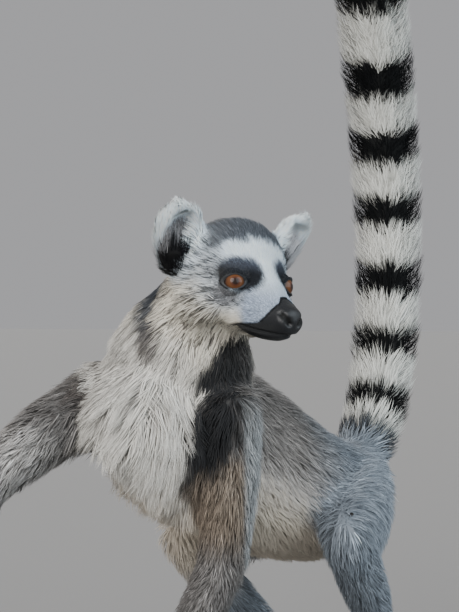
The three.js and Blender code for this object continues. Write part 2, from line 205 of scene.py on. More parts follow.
class Place:
    """What the coat is like at many points: how near each part is, and the lie and size of its locks."""

    def __init__(self, points):
        runs = ENDS - STARTS
        shares = np.einsum("nld,ld->nl", points[:, None] - STARTS, runs) / (runs**2).sum(1)
        nearest = STARTS + np.clip(shares, 0, 1)[..., None] * runs
        gaps = np.linalg.norm(points[:, None] - nearest, axis=2)
        weights = (TRAITS[:, 0] / np.maximum(gaps, 1)) ** PART_FIRMNESS
        weights[:, ON_PAWS] *= 1 + PAW_PULL * ease(*PAW_HEIGHTS, points[:, 2:])
        self.points, self.shares = points, shares
        self.weights = weights / weights.sum(1, keepdims=True)
        self.depth, self.length, self.width = (self.weights @ TRAITS[:, 1:]).T
        self.lie = self.weights @ LIES

    def part(self, *names):
        """How far each point belongs to the parts whose names start so, from 0 to 1."""
        return sum(self.weights[:, i] for i, part in enumerate(PARTS) if part.startswith(names))

    def along(self, name):
        """How far along a part's line each point is, 0 at its start and 1 at its end."""
        return self.shares[:, PARTS.index(name)]


def relaxed(points, edges, share, rounds):
    """Each point moves by its share of the way to the middle of its neighbours, round after round."""
    count = len(points)
    neighbours = np.bincount(edges.ravel(), minlength=count)
    for _ in range(rounds):
        total = np.zeros_like(points)
        for here, there in (edges.T, edges.T[::-1]):
            for axis in range(3):
                total[:, axis] += np.bincount(here, weights=points[there, axis], minlength=count)
        points = points + (total / neighbours[:, None] - points) * share[:, None]
    return points


def points_of(mesh):
    """A mesh's points, in millimetres."""
    flat = np.empty(len(mesh.vertices) * 3)
    mesh.vertices.foreach_get("co", flat)
    return flat.reshape(-1, 3) / MM


def normals_of(mesh):
    flat = np.empty(len(mesh.vertices) * 3, dtype=np.float32)
    mesh.vertex_normals.foreach_get("vector", flat)
    return flat.reshape(-1, 3).astype(float)


def edges_of(mesh):
    flat = np.empty(len(mesh.edges) * 2, dtype=np.int32)
    mesh.edges.foreach_get("vertices", flat)
    return flat.reshape(-1, 2)


def put_points(mesh, points):
    mesh.vertices.foreach_set("co", (points * MM).ravel())
    mesh.update()


def settled(piece):
    """The piece's mesh with its modifiers worked in."""
    mesh = bpy.data.meshes.new_from_object(piece.evaluated_get(bpy.context.evaluated_depsgraph_get()))
    piece.modifiers.clear()
    old = piece.data
    piece.data = mesh
    bpy.data.meshes.remove(old)
    return mesh


flesh_nodes = [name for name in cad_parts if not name.startswith("eye")]
flesh = bmesh.new()
for name in flesh_nodes:
    flesh.from_mesh(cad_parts[name].data)
bmesh.ops.remove_doubles(flesh, verts=flesh.verts, dist=1e-5)
flesh.normal_update()
for vert in flesh.verts:
    on_digits = vert.co.z < DIGITS_BELOW * MM  # the gaps between them stay open
    vert.co += vert.normal * (-DIGIT_SLIMMING if on_digits else SEAM_FILL) * MM
for eye_at in EYES.values():
    socket_at = Matrix.Translation(eye_at)
    bmesh.ops.create_icosphere(flesh, subdivisions=3, radius=SOCKET_FILL * MM, matrix=socket_at)
skin_mesh = bpy.data.meshes.new("skin")
flesh.to_mesh(skin_mesh)
flesh.free()
skin = placed("skin", skin_mesh)
remesh = skin.modifiers.new("one surface", "REMESH")
remesh.mode = "VOXEL"
remesh.voxel_size = GRAIN * MM
skin_mesh = settled(skin)

# Fine where the shape is fine: the trunk, limbs and tail are thinned, the head, hands and feet are not.
FINE = ("muzzle", "face", "skull", "ear", "hand", "foot")
place = Place(points_of(skin_mesh))
plain = np.where(place.part(*FINE) < 0.5)[0]
skin.vertex_groups.new(name="plain").add(plain.tolist(), 1, "REPLACE")
thin = skin.modifiers.new("thinned", "DECIMATE")
thin.ratio = KEPT
thin.vertex_group = "plain"
skin_mesh = settled(skin)
skin.vertex_groups.clear()

# It is smoothed, drawn in by the depth of the coat, and smoothed again, less so where the shape is fine.
points = points_of(skin_mesh)
place = Place(points)
softness = 0.55 - 0.3 * place.part("ear", "muzzle") - 0.4 * place.part("hand", "foot")
softness = softness - 0.2 * place.part("face")
points = relaxed(points, edges_of(skin_mesh), softness, 8)
put_points(skin_mesh, points)
place = Place(points)
off_floor = ease(0, 7, points[:, 2])  # the parts pressed on the floor stay on it
sunk = np.where(points[:, 2] < DIGITS_BELOW, DIGIT_COAT, place.depth + SEAM_FILL * SEAM_SUNK)
points = points - normals_of(skin_mesh) * (sunk * off_floor)[:, None]
points = relaxed(points, edges_of(skin_mesh), softness * 0.8, 6)
points[:, 2] = np.maximum(points[:, 2], 0.1)
put_points(skin_mesh, points)

# The face is cut finer, so that lids, lips and nostrils have enough faces.
EYE_AT = {s: head_frame(np.array(at)[None] / MM)[0] for s, at in EYES.items()}
FACE_REACH = 15  # from an eye's centre
SNOUT_START = 4  # ahead of the eyes

face_shape = bmesh.new()
face_shape.from_mesh(skin_mesh)
spots = head_frame(points)
near_eye = np.minimum(*[np.linalg.norm(spots - at, axis=1) for at in EYE_AT.values()]) < FACE_REACH
fine = (place.part("face", "skull", "muzzle") > 0.6) & (near_eye | (spots[:, 0] > SNOUT_START))
face_edges = [edge for edge in face_shape.edges if fine[edge.verts[0].index] and fine[edge.verts[1].index]]
bmesh.ops.subdivide_edges(face_shape, edges=face_edges, cuts=1, use_grid_fill=True)
bmesh.ops.triangulate(face_shape, faces=[face for face in face_shape.faces if len(face.verts) > 3])
face_shape.to_mesh(skin_mesh)
face_shape.free()
points = points_of(skin_mesh)
place = Place(points)
spots = head_frame(points)
on_face = place.part("face", "skull", "muzzle") * ease(-14, -6, spots[:, 0])
points = relaxed(points, edges_of(skin_mesh), on_face * 0.5, 4)
put_points(skin_mesh, points)


def dent(points, normals, centre, radii, depth):
    """Pushes the skin in (or out, with a negative depth) around a place given on the head."""
    gaps = np.linalg.norm((head_frame(points) - np.array(centre)) / np.array(radii), axis=1)
    return points - normals * (depth * np.exp(-(gaps**2)))[:, None]


# The nose is a blunt bulb with a comma-shaped slit on each side, over a closed mouth.
NOSE_BULBS = [  # centre, radii, depth
    ((35, 0, -13), (5, 8, 6), -1.3),
    ((33, 6, -17), (5, 4, 4), -0.7),
    ((33, -6, -17), (5, 4, 4), -0.7),
]
NOSTRIL = [  # centre, radius, depth
    ((33.2, 7.0, -13), 1.2, 2.0),
    ((34.8, 5.9, -14.6), 1.5, 4.2),
    ((36.3, 4.4, -16.4), 1.6, 4.4),
    ((37.5, 3.0, -18.2), 1.3, 2.4),
]
LIP_LINE = [(3, 12, -23), (12, 10.5, -24.4), (20, 9.5, -25), (27, 8, -25.2), (33, 5, -25), (36.5, 1, -25)]
LIP_RADII, LIP_DEPTH = (2.2, 2.2, 1.1), 0.75
normals = normals_of(skin_mesh)
for centre, radii, depth in NOSE_BULBS:
    points = dent(points, normals, centre, radii, depth)
put_points(skin_mesh, points)
normals = normals_of(skin_mesh)
for s in (1, -1):
    for (ahead, left, up), radius, depth in NOSTRIL:
        points = dent(points, normals, (ahead, left * s, up), (radius * 1.2, radius, radius), depth)
    for a, b in zip(LIP_LINE, LIP_LINE[1:]):
        for share in (0, 1 / 3, 2 / 3):
            ahead, left, up = np.array(a) + (np.array(b) - np.array(a)) * share
            points = dent(points, normals, (ahead, left * s, up), LIP_RADII, LIP_DEPTH)
put_points(skin_mesh, points)

# The lids wrap the eyeball up to an almond opening, and the skin tucks in behind it at the rim.
EYE_RADIUS = 8.0
OPENING_SPLAY, OPENING_LIFT = radians(35), radians(10)  # how far the opening faces outwards, and upwards
OPENING_WIDE, OPENING_HIGH = radians(47), radians(26.5)
LID_THICKNESS = 0.8
TUCKED_TO = 6.2  # from the eye's centre, behind the rim
LID_REACH = 16  # how far from the eye's centre the skin is shaped


def eye_axes(s, splay, lift):
    """For the left eye (1) or the right (-1): the way it faces, the way out to its side, and its up."""
    gaze = np.array([cos(splay) * cos(lift), s * sin(splay) * cos(lift), sin(lift)])
    outward = np.array([-sin(splay), s * cos(splay), 0])
    return gaze, outward, np.cross(gaze, outward) * s


spots = head_frame(points)
for s, eye_at in EYE_AT.items():
    gaze, outward, above = eye_axes(s, OPENING_SPLAY, OPENING_LIFT)
    arms = spots - eye_at
    reach = np.linalg.norm(arms, axis=1)
    ways = arms / reach[:, None]
    across, rise = np.arctan2(ways @ outward, ways @ gaze), np.arcsin(np.clip(ways @ above, -1, 1))
    rise = rise + 0.12 * across  # the inner corner sits lower
    narrowed = OPENING_HIGH * (1 - 0.3 * np.clip(across / OPENING_WIDE, -1, 1) ** 2)
    ring = np.hypot(across / OPENING_WIDE, rise / narrowed)
    lid = EYE_RADIUS + LID_THICKNESS
    rim = np.where(ring < 1.06, TUCKED_TO + (lid - TUCKED_TO) * ease(0.93, 1.04, ring), lid)
    fold = np.exp(-(((ring - 1.2) / 0.14) ** 2))
    rim = rim + (0.35 + 0.45 * (rise > 0)) * fold  # the upper lid is thicker
    settled_reach = rim + (np.maximum(reach, lid - 0.3) - rim) * ease(1.25, 1.9, ring)
    held = (reach < LID_REACH) & (ways @ gaze > -0.35)
    spots[held] = eye_at + ways[held] * settled_reach[held, None]
points = HEAD_AT + spots @ HEAD_AXES.T

# The ears end in a broad, blunt point.
EAR_BROADENED, EAR_SHORTENED = 0.16, 0.11
place = Place(points)
for name in ("ear_left", "ear_right"):
    start, end = STARTS[PARTS.index(name)], ENDS[PARTS.index(name)]
    share = place.along(name)
    line_at = start + share[:, None] * (end - start)
    broadened = place.part(name) * -EAR_BROADENED * ease(0.4, 0.9, share)
    points = points + (line_at - points) * broadened[:, None]
    points = points - (end - start) * (place.part(name) * EAR_SHORTENED * ease(0.6, 1.0, share))[:, None]

# The right knee is drawn in, so that it doesn't break the line of the belly.
KNEE_RADIUS, KNEE_TO, KNEE_DRAWN = 26, np.array([8, 8, 4]), 0.3
place = Place(points)
knee = ENDS[PARTS.index("thigh_right")]
drawn = np.exp(-(np.linalg.norm(points - knee, axis=1) / KNEE_RADIUS) ** 2)
drawn = place.part("thigh_right", "shank_right") * drawn
points = points + (knee + KNEE_TO - points) * (drawn * KNEE_DRAWN)[:, None]
put_points(skin_mesh, points)

# ---------------------------------------------------------------- markings, and the skin's finish
# The colours of the hair and of the hide under it, as the animal wears them: pale face and chest, dark eye
# patches, cap and muzzle, grey-brown back, blue-grey haunches, and a tail ringed in black and white. Some
# light and shade is painted in as well: paler low flanks, a darker top of the back, shade in creases and
# joins, deep shade on the left shoulder, brighter ears and dark nostril slits. On the hide they are
# crossed by fine fibres, with pores where it is bare.

WHITE = np.array([0.76, 0.86, 0.95])
CREAM = np.array([0.86, 0.80, 0.68])
CHEST_WHITE = np.array([0.76, 0.735, 0.68])
BELLY_TAN = np.array([0.76, 0.67, 0.55])
ARM_JOIN_SHADE = np.array([0.055, 0.045, 0.04])
CAP_GREY = np.array([0.078, 0.088, 0.104])
PATCH_BLACK = np.array([0.014, 0.016, 0.02])
PATCH_SOFT = np.array([0.062, 0.072, 0.095])
MUZZLE_BLACK = np.array([0.012, 0.013, 0.015])
MUZZLE_PALE = np.array([0.33, 0.39, 0.49])
FACE_GREY = np.array([0.24, 0.24, 0.25])
BACK_BROWN = np.array([0.26, 0.242, 0.228])
HAUNCH_GREY = np.array([0.25, 0.285, 0.325])
ARM_GREY = np.array([0.165, 0.156, 0.150])
ARM_PALE = np.array([0.38, 0.40, 0.41])
SHOULDER_BLACK_AND_SHADE = np.array([0.024, 0.025, 0.027])
RUST = np.array([0.215, 0.175, 0.138])
PAW_PALE = np.array([0.38, 0.38, 0.36])
TAIL_WHITE = np.array([0.74, 0.74, 0.69])
TAIL_BLACK = np.array([0.003, 0.0035, 0.004])
HOLLOW_BLACK = np.array([0.008, 0.008, 0.01])

# Black rings of the tail: (start, end) in millimetres along it from the rump, the last four evenly spaced.
BLACK_RINGS = [(55, 74), (99, 119), (143, 166), (193, 215), (238, 261), (284, 311), (345, 368)]
EVEN_FROM, RING_PITCH, RING_WIDTH = 394, 44, 21
BLACK_RINGS += [(EVEN_FROM + RING_PITCH * i, EVEN_FROM + RING_PITCH * i + RING_WIDTH) for i in range(4)]
TAIL_TIP_BLACK = 567
TAIL_STEPS = [np.linalg.norm(b - a) for a, b in zip(TAIL_PATH, TAIL_PATH[1:])]
TAIL_LENGTHS = np.concatenate([[0], np.cumsum(TAIL_STEPS)])
SHOULDER_FACING = radians(32)  # how far the black shoulder is turned from the front
WAVES = 6  # added up for a wandering value


def wander(points, size, seed):
    """A smooth wandering value, mostly between -1 and 1, with features of about that size."""
    picker = np.random.default_rng(seed)
    total = np.zeros(len(points))
    for _ in range(WAVES):
        way = units(picker.normal(size=(1, 3)))[0] * picker.uniform(0.7, 1.5)
        total += np.sin(points @ way * (2 * pi / size) + picker.uniform(0, 2 * pi))
    return total / 2.5


def laid_over(base, colour, mask):
    """The base with a colour, or with one colour for each place, laid over it where the mask is 1."""
    return base + (colour - base) * np.clip(mask, 0, 1)[:, None]


def all_over(colour, places):
    return np.tile(colour, (len(places), 1))


def tail_distance(place):
    """Millimetres along the tail from the rump."""
    steps = [i for i, part in enumerate(PARTS) if part.startswith("tail")]
    own = place.weights[:, steps] ** 3
    here = TAIL_LENGTHS[:-1] + np.clip(place.shares[:, steps], 0, 1) * np.diff(TAIL_LENGTHS)
    return (own * here).sum(1) / np.maximum(own.sum(1), 1e-12)


def near(spots, centre, radii):
    """1 close to a place given for the left half of the head, on both sides of it."""
    gaps = (spots * np.where(spots[:, 1:2] < 0, [[1, -1, 1]], 1) - np.array(centre)) / np.array(radii)
    return ease(1.3, 0.5, np.linalg.norm(gaps, axis=1))


def eye_rim(spots, s):
    """How far each place is from the middle of an eye's opening: 1 at its edge."""
    gaze, outward, above = eye_axes(s, OPENING_SPLAY, OPENING_LIFT)
    ways = units(spots - EYE_AT[s])
    rise = np.arcsin(np.clip(ways @ above, -1, 1))
    return np.hypot(np.arctan2(ways @ outward, ways @ gaze) / OPENING_WIDE, rise / OPENING_HIGH)


PATCH_SHIFT, PATCH_SIZE = (2.4, 5.6), (14.2, 9.9)  # inwards and up from the eye; half its width and height


def eye_patch(spots, spread=1.0):
    """1 inside the dark patch round each eye, and on the lids."""
    patch = np.zeros(len(spots))
    for s, eye_at in EYE_AT.items():
        gaze, outward, _ = eye_axes(s, OPENING_SPLAY, 0)
        arms = spots - eye_at
        across = (arms @ outward + PATCH_SHIFT[0]) / PATCH_SIZE[0]
        ring = np.hypot(across, (arms[:, 2] - PATCH_SHIFT[1]) / PATCH_SIZE[1])
        patch = np.maximum(patch, ease(1.2, 0.8, ring / spread) * ease(-12, -8, arms @ gaze))
        patch = np.maximum(patch, ease(1.55, 1.25, eye_rim(spots, s)) * (np.linalg.norm(arms, axis=1) < 12))
    return patch


# The black's upper and lower edge on the side of the snout: how far ahead, and how far up.
BLACK_TOP = np.array([
    (-5, -24), (1, -22.6), (6, -21.3), (14, -20.7), (19, -19.4), (23, -16), (26, -11.5), (27.5, -7.5),
    (28.5, 8),
])
BLACK_LOW = np.array([(-5, -26), (3, -28), (8, -29.5), (16, -31), (24, -32), (34, -32)])


def muzzle_black(spots):
    """1 on the black nose and lips."""
    ahead = spots[:, 0] - 1.2 + 3.5 * ease(6, 2, np.abs(spots[:, 1]))
    up = spots[:, 2]
    top, low = np.interp(ahead, *BLACK_TOP.T), np.interp(ahead, *BLACK_LOW.T)
    soft = 0.9 + 2.2 * ease(8, 4, np.abs(spots[:, 1])) * ease(20, 25, ahead)  # it fades out up the bridge
    return ease(1, -1, (up - top) / soft) * ease(-0.6, 0.6, up - low) * ease(-5, -2, ahead)


# The hollow of the right ear, which the left mirrors: its middle, its long and its short way, its half size.
EAR_HOLLOW_AT = np.array([-26, -42.6, 13.5])
EAR_HOLLOW_UP, EAR_HOLLOW_OUT = np.array([0.08, -0.34, 0.937]), np.array([-0.423, -0.906, 0])
EAR_HOLLOW_HIGH, EAR_HOLLOW_WIDE = 20, 10.4


def ear_hollow(spots, s):
    """How far out each place is from the middle of an ear's hollow (1 at its edge), how far up in it, and
    how far towards the ear's outer edge."""
    arms = spots * np.array([1, -s, 1]) - EAR_HOLLOW_AT
    high = arms @ EAR_HOLLOW_UP / EAR_HOLLOW_HIGH
    wide = arms @ EAR_HOLLOW_OUT / EAR_HOLLOW_WIDE
    wide = wide + 0.4 * np.clip(-high, 0, 1)  # its lower end lies nearer the cheek
    through = np.abs(arms @ np.cross(EAR_HOLLOW_UP, EAR_HOLLOW_OUT))
    return np.hypot(high, wide) + np.clip(through - 7, 0, 9), high, wide


CAP_EDGE = 26  # height of the cap's edge over the brow
TRUNK_LINE = np.array([(-17, 191), (55, 166), (152, 132), (222, 145)])  # its middle: along, and up
# The shoulder's black below is black hair and painted deep shade together.
BAND_EDGE = np.array([  # the inner edge of the shoulder's black: up, and across
    (140, 17), (152, 20), (170, 26), (184, 28), (198, 31), (206, 26), (213, 27), (221, 34), (231, 39),
    (236, 60),
])
NAPE_LINE = np.array([(225, 2), (236, -3), (250, -8), (262, -8)])  # the stripe up the nape: up, and across
NECK_BACK = np.array([(190, 16), (255, 4)])  # where the brown of the back begins on the neck: up, and along


def markings(place):
    """The colour of the hair at each place, with some light and shade painted into it."""
    points = place.points
    x, y, z = points.T
    spots = head_frame(points)
    ahead, side, up = spots[:, 0], np.abs(spots[:, 1]), spots[:, 2]
    rough = wander(points, 9, 3) * 1.2 + wander(points, 3.5, 4) * 0.8  # makes every edge uneven

    # Head: cream at the back and below, white brow, grey-blue muzzle, dark cap and eye patches, black nose.
    head = laid_over(all_over(CREAM, points), WHITE * 0.86, ease(-22, -8, up))
    head = laid_over(head, FACE_GREY, 0.42 * ease(18, 26, side) * ease(-22, -12, up) * ease(22, 12, up))
    head = laid_over(head, MUZZLE_PALE, ease(5, 12, ahead) * ease(6, -8, up) * ease(-28, -23, up))
    head = laid_over(head, WHITE, ease(25, 19, side) * ease(5, 11, up + 0.25 * ahead) * (ahead > -16))
    cap_edge = CAP_EDGE - 0.012 * side**2 - 1.55 * np.clip(-20 - ahead, 0, 30)
    cap = ease(-3, 2.5, up - cap_edge + 0.8 * rough) * ease(36, 27, side + 0.12 * rough)
    head = laid_over(head, CAP_GREY, cap)
    patch = PATCH_BLACK + (PATCH_SOFT - PATCH_BLACK) * ease(6, 14, up)[:, None]
    head = laid_over(head, patch, eye_patch(spots + rough[:, None] * 0.3))
    head = laid_over(head, MUZZLE_BLACK, muzzle_black(spots))

    # Ears: white, with a black hollow below a grey tuft, which is darker on the right. Painted light makes
    # the ears' white brighter than the face's, and the tuft of the left, far ear nearly three times as pale,
    # where light falls on them.
    ear = all_over(WHITE * 1.1, points)
    for s in (1, -1):
        ring, high, wide = ear_hollow(spots, s)
        # Painted light: the left ear's tuft is made pale where light falls on that ear.
        tuft = FACE_GREY * (0.95 if s < 0 else 2.8)
        high = high + 0.4 * wide - (0.3 if s < 0 else 0)
        ear = laid_over(ear, tuft, ease(1.1, 0.9, ring) * ease(-0.1, 0.25, high + 0.35))
        ear = laid_over(ear, HOLLOW_BLACK, ease(1.1, 0.85, ring) * ease(0.3, -0.05, high + 0.1 * rough))

    # Neck: cream with painted shade in creases that run along the hair, brown behind, and a dark stripe
    # up the nape.
    heights, starts = NECK_BACK.T
    back_side = ease(0, 34, y - np.interp(z, heights, STANCE[1] + starts))
    neck = laid_over(all_over(CREAM, points), BACK_BROWN, ease(0.25, 0.8, back_side + 0.1 * rough))
    nape = ease(11, 5, np.abs(x - np.interp(z, *NAPE_LINE.T)))
    lie = units(place.lie)
    along = points - lie * ((points * lie).sum(1) * 0.85)[:, None]
    # Painted shade in the partings between clumps of hair, used on the neck and on the chest.
    crease_shade = ease(0.35, 1.3, wander(along, 8, 31) + 0.6 * wander(along, 4, 32))
    neck = laid_over(neck, BACK_BROWN * 0.4, 0.85 * crease_shade)
    neck = laid_over(neck, CAP_GREY * 0.6, nape * ease(218, 232, z + 4 * rough))

    # Trunk: brown-grey, paler down the flanks, blue-grey behind, tan below and white on the chest. The
    # paleness down the flanks is painted light, standing in for light thrown up from below, and the top
    # of the back is darkened with painted shade where the lamps fall on it.
    axis_y, axis_z = TRUNK_LINE.T
    height = z - np.interp(y, STANCE[1] + axis_y, axis_z)
    front = ease(-30, -62, y)
    # Painted light: up to 2.9 times as bright low on the flanks, for light that would come up from below.
    trunk = all_over(BACK_BROWN, points) * (1 + 1.9 * ease(0, -32, height))[:, None]
    trunk = laid_over(trunk, HAUNCH_GREY, ease(10, 95, y))
    # Painted shade: a third darker along the top of the back.
    trunk *= (1 - 0.35 * ease(8, 28, height))[:, None]
    trunk = laid_over(trunk, BELLY_TAN, ease(2, -26, height + 3 * rough + 20 * (1 - front) - 8))
    chest = front * ease(-66, -40, height + 3 * rough - 12 * ease(0, -22, x))
    trunk = laid_over(trunk, CHEST_WHITE, chest)
    # Painted shade in the creases of the chest's hair.
    trunk = laid_over(trunk, BACK_BROWN * 0.5, 0.6 * crease_shade * front * ease(-25, 5, height))
    trunk = laid_over(trunk, BACK_BROWN * 0.8, ease(9, 3, np.abs(x)) * ease(20, 36, height))

    # Brown hairs show through the white where it passes over the right shoulder.
    brown_hairs = 0.6 * ease(0.0, 1.0, wander(along, 7, 33)) * ease(-8, -30, x) * front
    trunk = laid_over(trunk, BACK_BROWN * 0.7, brown_hairs)

    # Left arm: a black shoulder over rust, pale round the outside. The black overlaps the neck and chest.
    # It is partly black hair and partly painted shade, where the front of the shoulder lies in deep shade.
    around = x * cos(SHOULDER_FACING) + y * sin(SHOULDER_FACING)  # grows round the front to the left
    band_edge = np.interp(z, *BAND_EDGE.T)
    band = ease(-3, 3, x + 0.8 * rough - band_edge) * ease(-28, -42, y)
    rusty = ease(172, 158, z) * ease(100, 125, z) * ease(20, 8, around)
    left_arm = laid_over(all_over(ARM_GREY, points), RUST, rusty)
    inner_drop = 16 * ease(6, -8, around)
    # Black hair and painted deep shade together, down the front of the shoulder.
    black = ease(156, 178, z + inner_drop + 3 * rough) * ease(18, 7, around + 1.5 * rough)
    left_arm = laid_over(left_arm, SHOULDER_BLACK_AND_SHADE, black)
    left_streaks = 0.55 * ease(0.1, 1.1, wander(along, 5, 41)) * ease(170, 185, z)
    left_arm = laid_over(left_arm, ARM_GREY * 0.5, left_streaks)
    left_arm = laid_over(left_arm, ARM_PALE, 0.9 * ease(9, 14, around) * ease(205, 175, z))
    neck = laid_over(neck, left_arm, band)
    trunk = laid_over(trunk, left_arm, band * ease(34, 20, x - band_edge))

    # Right arm: grey, paler towards the hand. The chest's white ends along a dark line of painted shade
    # where the arm begins.
    paler = 0.85 * ease(180, 150, z + 0.6 * y + 60)
    right_arm = laid_over(all_over(ARM_GREY, points), ARM_PALE * [1.1, 1, 0.93], paler)
    # Painted shade in the join of the shoulder and the chest.
    right_arm = laid_over(right_arm, ARM_JOIN_SHADE, 0.75 * ease(-96, -90, around) * ease(178, 190, z))
    on_arm = ease(-84, -88, around + 0.8 * rough)
    right_arm = laid_over(trunk, right_arm, on_arm)
    trunk = laid_over(trunk, right_arm, on_arm * ease(-30, -40, x))

    # Legs: blue-grey, and tan inside. Hands and feet are pale.
    inner = np.where(x < 0, ease(95, 60, y), ease(44, 34, x) * ease(80, 50, y))
    thigh = laid_over(all_over(HAUNCH_GREY, points), BELLY_TAN, inner)
    shank = laid_over(all_over(HAUNCH_GREY * 0.9, points), BELLY_TAN, 0.7 * inner * ease(50, 90, z))
    paw = all_over(PAW_PALE, points)

    # Tail: white with black rings and a black tip, and at its base grey with a thin dark ring.
    distance = tail_distance(place) + 1.2 * rough
    tip = ease(TAIL_TIP_BLACK - 2, TAIL_TIP_BLACK + 2, distance)
    tail = laid_over(all_over(TAIL_WHITE, points), TAIL_BLACK, tip)
    for start, end in BLACK_RINGS:
        ring = ease(start - 1.5, start + 1.5, distance) * ease(end + 1.5, end - 1.5, distance)
        tail = laid_over(tail, TAIL_BLACK, ring)
    tail = laid_over(tail, HAUNCH_GREY, ease(34, 26, distance))
    tail = laid_over(tail, CAP_GREY * 0.5, ease(26, 30, distance) * ease(44, 40, distance))

    groups = [
        (place.part("face", "skull", "muzzle"), head),
        (place.part("ear"), ear),
        (place.part("neck"), neck),
        (place.part("chest", "breast", "belly", "rump"), trunk),
        (place.part("upper_arm_left", "forearm_left"), left_arm),
        (place.part("upper_arm_right", "forearm_right"), right_arm),
        (place.part("thigh"), thigh),
        (place.part("shank"), shank),
        (place.part("hand", "foot"), paw),
        (place.part("tail"), tail),
    ]
    shares = np.array([weight for weight, _ in groups]) ** 1.6
    shares /= shares.sum(0)
    coat = sum(share[:, None] * colour for share, (_, colour) in zip(shares, groups))

    # The hair is greyer on the lower lids and cheekbones, and in a smudge behind each eye.
    off_patch = 1 - eye_patch(spots)
    coat = laid_over(coat, FACE_GREY * 0.7, 0.9 * near(spots, (1, 23, -8), (14, 9, 7)) * off_patch)
    smudge = 0.6 * eye_patch(spots + rough[:, None] * 0.5, 1.3) * ease(-4, 4, side - 17) * ease(14, 5, up)
    return laid_over(coat, FACE_GREY * 0.6, smudge * off_patch)


# Where dark hairs grow among the pale ones on the head: the most, and the place's centre and radii.
DARK_HAIRS = [
    (0.75, (-5, 27, -11), (14, 10, 10)),  # cheeks
    (0.7, (3, 21, -10), (13, 9, 8)),  # under the eyes
    (0.95, (-16, 30, 8), (7, 6, 13)),  # in front of the ears
    (0.8, (-14, 27, 12), (15, 9, 14)),  # temples
]
DARK_ON_NECK = 0.22
BRIDGE_EDGE = np.array([(5, -21), (18, -19.5), (24, 0)])  # the bare nose's upper edge: ahead, and up


def dark_hairs(place):
    """The share of dark hairs among the pale."""
    spots = head_frame(place.points)
    share = DARK_ON_NECK * place.part("neck")
    for most, centre, radii in DARK_HAIRS:
        share = np.maximum(share, most * near(spots, centre, radii))
    clusters = ease(-0.3, 0.8, wander(place.points, 4, 21) + 0.5 * wander(place.points, 8, 22))
    return share * (0.15 + 0.85 * clusters)


def bare(place):
    """1 on naked skin: nose, lips, rims of the eyes, hollows of the ears, palms and soles."""
    spots = head_frame(place.points)
    over_bridge = spots[:, 2] - np.interp(spots[:, 0], *BRIDGE_EDGE.T)
    naked = muzzle_black(spots - [2.2, 0, 0]) * ease(-0.4, -1.4, over_bridge)
    for s, eye_at in EYE_AT.items():
        close = np.linalg.norm(spots - eye_at, axis=1) < 10
        naked = np.maximum(naked, ease(1.25, 1.12, eye_rim(spots, s)) * close)
        ring, high, _ = ear_hollow(spots, s)
        naked = np.maximum(naked, ease(0.6, 0.4, np.hypot(ring, np.clip(high + 0.3, 0, 1) * 2)))
    return np.maximum(naked, ease(3.5, 1.5, place.points[:, 2]))


def paint(mesh, name, values):
    """Stores one value, or one colour, at each point of a mesh."""
    if values.ndim == 1:
        layer = mesh.attributes.new(name, "FLOAT", "POINT")
        layer.data.foreach_set("value", values.astype(np.float32))
    else:
        layer = mesh.attributes.new(name, "FLOAT_COLOR", "POINT")
        opaque = np.column_stack([values, np.ones(len(values))])
        layer.data.foreach_set("color", opaque.astype(np.float32).ravel())


class Socket:
    """A value in a shader: Python's operators on it add Math nodes."""

    def __init__(self, paintwork, socket):
        self.paintwork, self.socket = paintwork, socket

    def _maths(self, operation, first, second):
        return self.paintwork.node("ShaderNodeMath", {"operation": operation}, {0: first, 1: second})

    def __add__(self, other):
        return self._maths("ADD", self, other)

    def __sub__(self, other):
        return self._maths("SUBTRACT", self, other)

    def __mul__(self, other):
        return self._maths("MULTIPLY", self, other)

    def __rsub__(self, other):
        return self._maths("SUBTRACT", other, self)

    __radd__, __rmul__ = __add__, __mul__


class Paintwork:
    """A material whose nodes are added one by one."""

    def __init__(self, name):
        self.material = bpy.data.materials.new(name)
        self.material.use_nodes = True
        self.tree = self.material.node_tree
        self.surface = self.tree.nodes["Principled BSDF"]

    def node(self, kind, settings=None, values=None, output=0):
        """Adds a node of that kind, and gives one of its outputs."""
        node = self.tree.nodes.new(kind)
        for key, value in (settings or {}).items():
            if key == "stops":
                ramp = node.color_ramp
                while len(ramp.elements) < len(value):
                    ramp.elements.new(1)
                for element, (position, colour) in zip(ramp.elements, value):
                    element.position, element.color = position, (*colour, 1)
            else:
                setattr(node, key, value)
        for key, value in (values or {}).items():
            if isinstance(value, Socket):
                self.tree.links.new(value.socket, node.inputs[key])
            else:
                node.inputs[key].default_value = value
        return Socket(self, node.outputs[output])

    def set(self, **values):
        """Sets the surface's sockets, or links them."""
        for name, value in values.items():
            socket = self.surface.inputs[name.replace("_", " ")]
            if isinstance(value, Socket):
                self.tree.links.new(value.socket, socket)
            else:
                socket.default_value = value


# The hide has the hair's colours, darker under dark hair and in the ears, and nearly black in the
# nostrils' slits, which is painted shade in their depths.
place = Place(points)
spots = head_frame(points)
shaded_slits = np.zeros(len(points))
for s in (1, -1):
    for (ahead, left, up), radius, _ in NOSTRIL[1:3]:
        gaps = np.linalg.norm(spots - [ahead, left * s, up], axis=1)
        shaded_slits = np.maximum(shaded_slits, ease(radius + 1.5, radius + 0.5, gaps))
hollows = np.maximum(*[ease(1.05, 0.8, ear_hollow(spots, s)[0]) for s in (1, -1)])
# The last factor is painted shade, darkening the nostrils' slits almost to black.
under_coat = (1 - 0.5 * dark_hairs(place)) * (1 - 0.8 * hollows) * (1 - 0.97 * shaded_slits)
paint(skin_mesh, "marking", markings(place) * under_coat[:, None])
lids = np.minimum(*[np.linalg.norm(spots - at, axis=1) for at in EYE_AT.values()]) < 10.5
paint(skin_mesh, "bare", bare(place) * (1 - 0.6 * lids) * (1 - shaded_slits))

